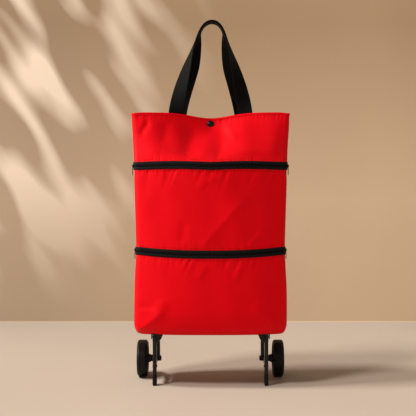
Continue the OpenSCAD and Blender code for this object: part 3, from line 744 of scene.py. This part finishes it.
class Panel:
    """A stretch of the bag's cloth between two seams, as a grid with its folds in it."""

    def __init__(self, cols, z_low, z_high, rows, folds, closed, hem=False):
        self.cols, self.closed = cols, closed
        self.run = RUN[cols]
        share = graded(rows)[:, None]
        z = z_low + (z_high - z_low) * share
        self.heights = z
        points = surface(z, cols)
        s = np.broadcast_to(wrapped(self.run), z.shape)
        from_low, from_high = z - z_low, z_high - z
        out = undulation(s, z, 0.9 * MM)
        for fold in folds:
            out = out + ridge(s, z, *fold[:4], sharp=fold[4])
        inside = ease(from_low / 0.022) * (1 if hem else ease(from_high / 0.022))
        out = out * inside
        out = out + gathers(s, from_low, 1.4 * MM, 4 * MM) + puckers(s, from_low, 0.012, 0.8 * MM)
        if hem:
            below = np.abs(from_high - HEM_BAND)
            out = out + gathers(s, below, 1.6 * MM, 4.5 * MM) * (from_high > HEM_BAND)
            out = out + puckers(s, below, 0.020, 0.9 * MM) * (from_high > HEM_BAND)
            out = out + stitch_line(from_high, HEM_BAND)
            out = out + 0.45 * MM * ease((HEM_BAND - from_high) / (0.8 * MM) + 1)
        else:
            out = out + gathers(s, from_high, 1.2 * MM, 6 * MM)
            out = out + puckers(s, from_high, 0.020, 1.9 * MM, lean=-0.3)
        out = dimple(s, z, out)
        self.points = points + out[..., None] * grid_normals(points, closed)
        self.normals = grid_normals(self.points, closed)

    def build(self, name):
        obj = grid_object(name, self.points, self.run, self.heights, self.closed)
        thicken(obj)
        return obj

    def line(self, z_of_col):
        """Places and normals along the cloth at a height given for each column."""
        places, normals = [], []
        for c in range(len(self.cols)):
            column = self.heights[:, c]
            places.append([np.interp(z_of_col[c], column, self.points[:, c, k]) for k in range(3)])
            normals.append([np.interp(z_of_col[c], column, self.normals[:, c, k]) for k in range(3)])
        return np.array(places), np.array(normals)


# A stitch's rings, as shares of its length, of its radius and of its lift off the cloth.
STITCH_RINGS = ((0.0, 0.25, -0.5), (0.15, 0.9, 0.3), (0.5, 1.0, 0.7), (0.85, 0.9, 0.3), (1.0, 0.25, -0.5))


def stitches(name, places, normals, closed, length=3.4 * MM, gap=3.2 * MM, radius=0.36 * MM):
    """A row of thread stitches along a line of places, each a short six-sided bead."""
    if closed:
        places = np.vstack([places, places[:1]])
        normals = np.vstack([normals, normals[:1]])
    step = np.linalg.norm(np.diff(places, axis=0), axis=1)
    run = np.concatenate([[0], np.cumsum(step)])
    verts, faces, uvs = [], [], []
    starts = np.arange(gap / 2, run[-1] - length, length + gap)

    def at(d, table):
        return np.array([np.interp(d, run, table[:, k]) for k in range(3)])

    for start in starts:
        head, tail = at(start, places), at(start + length, places)
        out = at(start + length / 2, normals)
        out = out / np.linalg.norm(out)
        ahead = (tail - head) / np.linalg.norm(tail - head)
        side = np.cross(out, ahead)
        first = len(verts)
        for share, fat, lift in STITCH_RINGS:
            centre = head + (tail - head) * share + out * radius * lift
            for k in range(6):
                a = k * math.pi / 3
                verts.append(centre + radius * fat * (math.cos(a) * side + math.sin(a) * out))
        for ring in range(4):
            for k in range(6):
                a, b = first + ring * 6 + k, first + ring * 6 + (k + 1) % 6
                faces.append((a, b, b + 6, a + 6))
                u, v = k * MM, ring * MM
                uvs += [(u, v), (u + MM, v), (u + MM, v + MM), (u, v + MM)]
        for ring, order in ((0, range(5, -1, -1)), (4, range(6))):
            faces.append(tuple(first + ring * 6 + k for k in order))
            uvs += [(0, 0)] * 6
    return finish_mesh(name, verts, faces, uvs, "red_thread_painted_shade")


def swept_ring(name, z_of_col, profile):
    """A closed profile, given as (up, out) from the bag's surface, carried once round the bag in zip tape."""
    base = surface(z_of_col[None, :], ALL)
    above = surface(z_of_col[None, :] + MM, ALL)
    across = np.roll(base, -1, axis=1) - np.roll(base, 1, axis=1)
    normal = np.cross(across, above - base)
    normal /= np.linalg.norm(normal, axis=2, keepdims=True)
    rows = []
    for up, out in profile:
        rows.append(surface(z_of_col[None, :] + up, ALL)[0] + out * normal[0])
    n, m = len(profile), N_COLS
    faces, uvs = [], []
    for r in range(n):
        q = (r + 1) % n
        v0, v1 = profile[r][0], profile[q][0]
        for c in range(m):
            d = (c + 1) % m
            s0, s1 = RUN[c], RUN[d] if d > c else RUN[d] + ROUND
            faces.append((r * m + c, r * m + d, q * m + d, q * m + c))
            uvs += [(s0, v0), (s1, v0), (s1, v1), (s0, v1)]
    return finish_mesh(name, np.array(rows).reshape(-1, 3), faces, uvs, "zip_tape")


# ---------------------------------------------------------------- the bag
FRONT = np.arange(FRONT_COLS)
REAR = np.arange(FRONT_COLS - 1, N_COLS + 1) % N_COLS
LOWER_LINE = LOWER_ZIP + sag(ALL, 6.0 * MM)
UPPER_LINE = UPPER_ZIP + 2.2 * MM * np.sin(math.pi * np.clip(np.abs(COLUMNS[:, 0]), 0, 1)) * (
    np.abs(COLUMNS[:, 1]) >= 0.999)
UNDER_TAPE = 1.5 * MM
TAPE_EDGE = ZIP_H / 2


def over(panel_line, side):
    """The height of a panel's edge under a zip, above it (side 1) or below it (side -1)."""
    return panel_line + side * (TAPE_EDGE - UNDER_TAPE)


def build_lower():
    z_low = np.full(N_COLS, EDGE_Z)
    panel = Panel(ALL, z_low, over(LOWER_LINE, -1), 66, LOWER_FOLDS + far_folds(LOWER_FOLDS)
                  + side_folds(0.16, 0.26), True)
    cloth = panel.build("lower_fabric")
    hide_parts("lower_panel")
    return panel, cloth


def build_bottom(panel):
    """The flat bottom, from the lower panel's edge inward, sagging a little between its edges."""
    edge = panel.points[0]
    rings = np.linspace(1.0, 0.06, 18)
    rows = []
    for k in rings:
        row = edge * [k, k, 1.0]
        row[:, 2] += (BOTTOM_Z - EDGE_Z) * ease((1 - k) / 0.09)
        rows.append(row)
    points = np.array(rows)
    n, m = len(rings), N_COLS
    verts = points.reshape(-1, 3)
    faces, uvs = [], []
    for r in range(n - 1):
        for c in range(m):
            d = (c + 1) % m
            quad = (r * m + d, r * m + c, (r + 1) * m + c, (r + 1) * m + d)
            faces.append(quad)
            uvs += [tuple(verts[i][:2]) for i in quad]
    last = tuple((n - 1) * m + c for c in range(m - 1, -1, -1))
    faces.append(last)
    uvs += [tuple(verts[i][:2]) for i in last]
    cloth = finish_mesh("bottom_fabric", verts, faces, uvs, "red_fabric")
    thicken(cloth)
    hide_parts("bottom_panel")
    return cloth


def build_middle():
    panel = Panel(ALL, over(LOWER_LINE, 1) - 6 * MM, over(UPPER_LINE, -1), 66,
                  MIDDLE_FOLDS + far_folds(MIDDLE_FOLDS) + side_folds(0.32, 0.44), True)
    cloth = panel.build("middle_fabric")
    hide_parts("middle_panel")
    return panel, cloth


def build_top():
    folds = TOP_FOLDS + far_folds(TOP_FOLDS) + side_folds(0.50, 0.56)
    panels = []
    state = RNG.bit_generator.state
    for name, cols, nodes in (("top_front_fabric", FRONT, ("top_front_panel", "front_hem")),
                              ("top_rear_fabric", REAR, ("top_rear_panel", "rear_hem"))):
        RNG.bit_generator.state = state
        panel = Panel(cols, over(UPPER_LINE[cols], 1), np.full(len(cols), HEM_Z), 46, folds, False, hem=True)
        cloth = panel.build(name)
        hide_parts(*nodes)
        panels.append((panel, cloth))
    return panels


# ---------------------------------------------------------------- zips
def tape_profile(up0, up1):
    """A zip tape's section between two heights from the zip's middle, rounded at its outer edges."""
    inset = 0.5 * MM * np.sign(up1 - up0)
    return [(up0, -0.4 * MM), (up1, -0.4 * MM), (up1, 0.6 * MM), (up1 - inset, 1.0 * MM),
            ((up0 + up1) / 2, 1.1 * MM), (up0 + inset, 1.0 * MM), (up0, 0.6 * MM)]


def coil_teeth(name, line, pitch=2.0 * MM):
    """Two rows of interlocking coil loops along a zip."""
    places = surface(line[None, :], ALL)[0]
    above = surface(line[None, :] + MM, ALL)[0]
    along = np.roll(places, -1, axis=0) - np.roll(places, 1, axis=0)
    normal = np.cross(along, above - places)
    normal /= np.linalg.norm(normal, axis=1, keepdims=True)
    places, normal = np.vstack([places, places[:1]]), np.vstack([normal, normal[:1]])
    run = np.concatenate([[0], np.cumsum(np.linalg.norm(np.diff(places, axis=0), axis=1))])
    count = int(run[-1] / pitch)
    step = run[-1] / count
    arch = [(2.5, 0.3), (2.2, 1.15), (1.2, 1.55), (0.2, 1.45), (-0.5, 1.0)]
    half = 0.42 * MM
    verts, faces, uvs = [], [], []
    for side in (1, -1):
        for k in range(count):
            d = (k + (0.25 if side > 0 else 0.75)) * step
            centre = np.array([np.interp(d, run, places[:, i]) for i in range(3)])
            out = np.array([np.interp(d, run, normal[:, i]) for i in range(3)])
            j = min(np.searchsorted(run, d), len(run) - 1)
            ahead = places[j] - places[j - 1]
            ahead /= np.linalg.norm(ahead)
            up = np.cross(out, ahead)
            first = len(verts)
            for a, o in arch:
                middle = centre + side * a * MM * up + o * MM * out
                for x, y in ((-1, -0.5), (1, -0.5), (0.75, 0.6), (-0.75, 0.6)):
                    verts.append(middle + half * (x * ahead + y * out))
            for ring in range(len(arch) - 1):
                for i in range(4):
                    a, b = first + 4 * ring + i, first + 4 * ring + (i + 1) % 4
                    quad = (a, b, b + 4, a + 4)
                    faces.append(quad if side < 0 else quad[::-1])
                    uvs += [(0, 0)] * 4
            for ends in ((first + 3, first + 2, first + 1, first), tuple(first + 16 + i for i in range(4))):
                faces.append(ends if side < 0 else ends[::-1])
                uvs += [(0, 0)] * 4
    return finish_mesh(name, verts, faces, uvs, "zip_coil")


def build_zip(level, line, body):
    """One zip on a body: its two tapes, its coil and the flat bed under the coil."""
    top = swept_ring(f"{level}_tape_top", line, tape_profile(1.6 * MM, TAPE_EDGE))
    bottom = swept_ring(f"{level}_tape_bottom", line, tape_profile(-1.6 * MM, -TAPE_EDGE)[::-1])
    teeth = coil_teeth(f"{level}_coil_teeth", line)
    corners = ((-2.4, -0.4), (2.4, -0.4), (2.4, 0.5), (-2.4, 0.5))
    bed = swept_ring(f"{level}_coil_bed", line, [(up * MM, out * MM) for up, out in corners])
    for piece, node in ((top, f"{level}_zip_tape_top"), (bottom, f"{level}_zip_tape_bottom"),
                        (teeth, f"{level}_zip_coil")):
        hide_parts(node)
        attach(piece, body)
    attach(bed, body)


# ---------------------------------------------------------------- handles
TAB_W = 0.030
STRAP_W = 0.0318
STRAP_T = 2.2 * MM
GRIP_W = 0.015  # the webbing folded double at the crown
GRIP_T = 0.005
LEAN = 0.0032
FRONT_IN, REAR_IN = 1.0 * MM, 2.5 * MM  # how far the straps' ends stand in from the CAD ends
FRONT_DROP, REAR_DROP = 7.0 * MM, 3.6 * MM  # how far the crowns' middle lines lie below the CAD tops
SEWN_LEN = 0.046  # of a strap's end below the hem
TAB_STEPS = 12
LEG_STEPS, ARCH_STEPS = 60, 36


def bezier(p, t):
    p = np.array(p)
    return (1 - t) ** 3 * p[0] + 3 * (1 - t) ** 2 * t * p[1] + 3 * (1 - t) * t * t * p[2] + t ** 3 * p[3]


def webbing_section(width, thick, fold, flats=22, rounds=5):
    """The webbing's outline across, as (along edge, along face) with each point's distance across the cloth.
    As fold goes from 0 to 1 the two layers of the folded webbing show as a groove along one edge."""
    w, h = width / 2, thick / 2
    r = min(h, 1.1 * MM)
    points, across = [], []
    for cx, cy, start in ((w - r, h - r, 90), (w - r, -h + r, 0),
                          (-w + r, -h + r, -90), (-w + r, h - r, -180)):
        for a in np.linspace(start, start - 90, rounds):
            points.append((cx + r * math.cos(math.radians(a)), cy + r * math.sin(math.radians(a))))
        if start == 90:
            points += [(w, 0.12 * h), (w - 2.2 * MM * fold, 0.0), (w, -0.12 * h)]
        elif start in (0, -180):
            way = -1 if start == 0 else 1
            points += [(way * x, way * h) for x in np.linspace(-(w - r), w - r, flats)[1:-1]]
    return np.array(points), np.array([p[0] for p in points])


def handle_line(ends_x, tab_z, leg, arch):
    """Half of a handle's middle line, from its sewn end up to the crown."""
    start = np.array([[-ends_x, z] for z in np.linspace(tab_z, leg[0][1], 14)[:-1]])
    legs = np.array([bezier(leg, t) for t in np.linspace(0, 1, LEG_STEPS + 1)[:-1]])
    arcs = np.array([bezier(arch, t) for t in np.linspace(0, 1, ARCH_STEPS + 1)])
    return np.vstack([start, legs, arcs]), len(start)


def handle_mesh(name, side, ends_x, leg, arch):
    """One handle of webbing. side is -1 for the front and 1 for the rear."""
    tab_z = HEM_Z - SEWN_LEN
    half, sewn = handle_line(ends_x, tab_z, leg, arch)
    line = np.vstack([half, half[:-1][::-1] * [-1, 1]])
    count, top = len(line), line[:, 1].max()
    tangent = np.gradient(line, axis=0)
    tangent /= np.linalg.norm(tangent, axis=1, keepdims=True)
    run = np.concatenate([[0], np.cumsum(np.linalg.norm(np.diff(line, axis=0), axis=1))])
    tab_zs = np.linspace(tab_z, HEM_Z, TAB_STEPS)
    panel_y = np.array([float(hem_depth(ends_x, z)) for z in tab_zs])
    verts = []
    for k in range(count):
        j = min(k, count - 1 - k)
        s = np.clip((j - sewn) / LEG_STEPS, 0, 1)
        z = line[k][1]
        y_hem = np.interp(min(z, HEM_Z), tab_zs, panel_y) - 3.4 * MM
        y_hem -= 2.6 * MM * float(ease((HEM_Z - z) / 0.016))
        y = y_hem + (0.0082 - y_hem) * min(1, 2 * s) + 0.004 * math.sin(math.pi * s)
        turn = math.radians(-10 + 100 * (1 - (1 - s) ** 1.25 if side < 0 else 0.45 * s + 0.55 * s ** 8))
        fold = float(ease((s - 0.55) / 0.45))
        shape, across = webbing_section(STRAP_W + (GRIP_W - STRAP_W) * fold,
                                        STRAP_T + (GRIP_T - STRAP_T) * fold, fold)
        tx, tz = tangent[k]
        inward = np.array([tz, 0, -tx])
        edge = np.array([math.cos(turn) * inward[0], -math.sin(turn), math.cos(turn) * inward[2]])
        face = np.cross([tx, 0, tz], edge)
        lean = LEAN * np.clip((z - HEM_Z) / (top - HEM_Z), 0, 1) ** 1.3
        centre = np.array([line[k][0] + lean, -y, z])
        ring = [centre + a * edge + b * face for a, b in shape]
        verts += [p * [1, -side, 1] for p in ring] if side > 0 else ring
    n = len(shape)
    faces, uvs = [], []
    for k in range(count - 1):
        for i in range(n):
            q = (i + 1) % n
            quad = (k * n + i, k * n + q, (k + 1) * n + q, (k + 1) * n + i)
            quv = [(across[i], run[k]), (across[q], run[k]), (across[q], run[k + 1]), (across[i], run[k + 1])]
            if side > 0:
                quad, quv = quad[::-1], quv[::-1]
            faces.append(quad)
            uvs += quv
    for ring, flip in ((0, True), (count - 1, False)):
        cap = tuple(ring * n + i for i in (range(n - 1, -1, -1) if flip != (side > 0) else range(n)))
        faces.append(cap)
        uvs += [(0, 0)] * n
    return finish_mesh(name, verts, faces, uvs, "webbing")


def hem_depth(x, z):
    """The bag's outer half depth at a place on its front face."""
    return depth_at(x / half_w(z), z)


def build_handles():
    joints = {j["name"]: j for j in frame["joints"]}
    pivot_z = joints["front_handle_swing"]["pos_m"][2]
    strap_x = high("front_handle_tabs", 0) - TAB_W / 2 - FRONT_IN
    rear_x = high("rear_handle_tabs", 0) - TAB_W / 2 - REAR_IN
    top = high("front_handle", 2) - FRONT_DROP
    rear_top = high("rear_handle", 2) - REAR_DROP
    front = handle_mesh("front_webbing", -1, strap_x,
                        [(-strap_x, pivot_z), (-0.067, 0.642), (-0.0465, top - 0.074),
                         (-0.0305, top - 0.034)],
                        [(-0.0305, top - 0.034), (-0.0225, top - 0.010), (-0.0125, top), (0, top)])
    rear = handle_mesh("rear_webbing", 1, rear_x,
                       [(-rear_x, pivot_z), (-0.0600, 0.642), (-0.0320, rear_top - 0.087),
                        (-0.0260, rear_top - 0.026)],
                       [(-0.0260, rear_top - 0.026), (-0.0240, rear_top - 0.011), (-0.012, rear_top),
                        (0, rear_top)])
    for piece, which, base, grip in ((front, "front", "mouth_front", "front_grip"),
                                     (rear, "rear", "upper_bag", "rear_grip")):
        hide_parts(f"{which}_handle", f"{which}_handle_tabs")
        y = joints[f"{which}_handle_swing"]["pos_m"][1]
        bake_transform(piece, base, grip, start=(0, y, pivot_z - 0.010), end=(0, y, pivot_z + 0.012))


# ---------------------------------------------------------------- finishes of the carried-over parts
def finish_nodes():
    """Every CAD node that stays takes its slot's material, and the machined ones a small bevel."""
    slots = {row["node"]: row["material_slot"] for row in frame["record"]["subparts"]}
    for node, obj in frame["nodes"].items():
        material = MATERIALS[slots[node]]
        if not obj.material_slots:
            obj.data.materials.append(material)
        for place in obj.material_slots:
            place.material = material
        if slots[node] in ("bracket", "zip_metal", "rim", "foot_rubber"):
            bevel = obj.modifiers.new("edges", "BEVEL")
            bevel.width = 0.35 * MM if slots[node] != "zip_metal" else 0.2 * MM
            bevel.segments = 2
            bevel.limit_method = "ANGLE"
            bevel.angle_limit = math.radians(35)
            bevel.harden_normals = True


# ---------------------------------------------------------------- assembly
def open_weights(obj, panel):
    """Each point's share of the mouth's opening on the top front panel: none at the zip and the corners."""
    s = np.abs(np.broadcast_to(wrapped(panel.run), panel.heights.shape))
    up = ease(rise(panel.heights) / 0.62)
    across = 1 - ease((s - 0.094) / (0.168 - 0.094))
    weights = (up * across).astype(np.float32).ravel()
    obj.data.attributes["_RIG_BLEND"].data.foreach_set("value", weights)


def build_bag():
    lower_panel, lower = build_lower()
    bottom = build_bottom(lower_panel)
    middle_panel, middle = build_middle()
    (front_panel, front), (rear_panel, rear) = build_top()
    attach(lower, "base")
    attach(bottom, "base")
    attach(rear, "upper_bag")
    rows = [
        ("lower_stitches", lower_panel, LOWER_LINE - TAPE_EDGE - STITCH_AWAY, True, "base"),
        ("middle_stitches_low", middle_panel, LOWER_LINE + TAPE_EDGE + STITCH_AWAY, True, None),
        ("middle_stitches_high", middle_panel, UPPER_LINE - TAPE_EDGE - STITCH_AWAY, True, None),
        ("top_rear_stitches", rear_panel, UPPER_LINE[REAR] + TAPE_EDGE + STITCH_AWAY, False, "upper_bag"),
        ("rear_hem_stitches", rear_panel, np.full(len(REAR), HEM_Z - HEM_BAND), False, "upper_bag"),
        ("top_front_stitches", front_panel, UPPER_LINE[FRONT] + TAPE_EDGE + STITCH_AWAY, False, "front"),
        ("front_hem_stitches", front_panel, np.full(len(FRONT), HEM_Z - HEM_BAND), False, "front"),
    ]
    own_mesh(middle)
    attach(middle, "base")
    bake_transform(front, "upper_bag", "mouth_front", start=(0, 0, TOP_Z), end=(0, 0, HEM_Z))
    open_weights(front, front_panel)
    for name, panel, heights, closed, body in rows:
        row = stitches(name, *panel.line(heights), closed)
        if body == "front":
            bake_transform(row, "upper_bag", "mouth_front", start=(0, 0, TOP_Z), end=(0, 0, HEM_Z))
            follow(row, front)
        elif body is None:
            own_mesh(row)
            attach(row, "base")
        else:
            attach(row, body)


def follow(row, cloth):
    """Gives a row of stitches the weights of the nearest points of its cloth."""
    weights = np.zeros(len(cloth.data.vertices), np.float32)
    cloth.data.attributes["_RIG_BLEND"].data.foreach_get("value", weights)
    points = np.array([v.co for v in cloth.data.vertices])
    target = np.array([v.co for v in row.data.vertices])
    nearest = np.empty(len(target), int)
    for start in range(0, len(target), 400):
        part = target[start:start + 400]
        nearest[start:start + 400] = ((part[:, None] - points[None]) ** 2).sum(axis=2).argmin(axis=1)
    row.data.attributes["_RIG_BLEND"].data.foreach_set("value", weights[nearest])


add_camera()
add_lights()
share_light(add_floor())
build_bag()
build_zip("lower", LOWER_LINE, "base")
build_zip("upper", UPPER_LINE, "upper_bag")
build_handles()
finish_nodes()
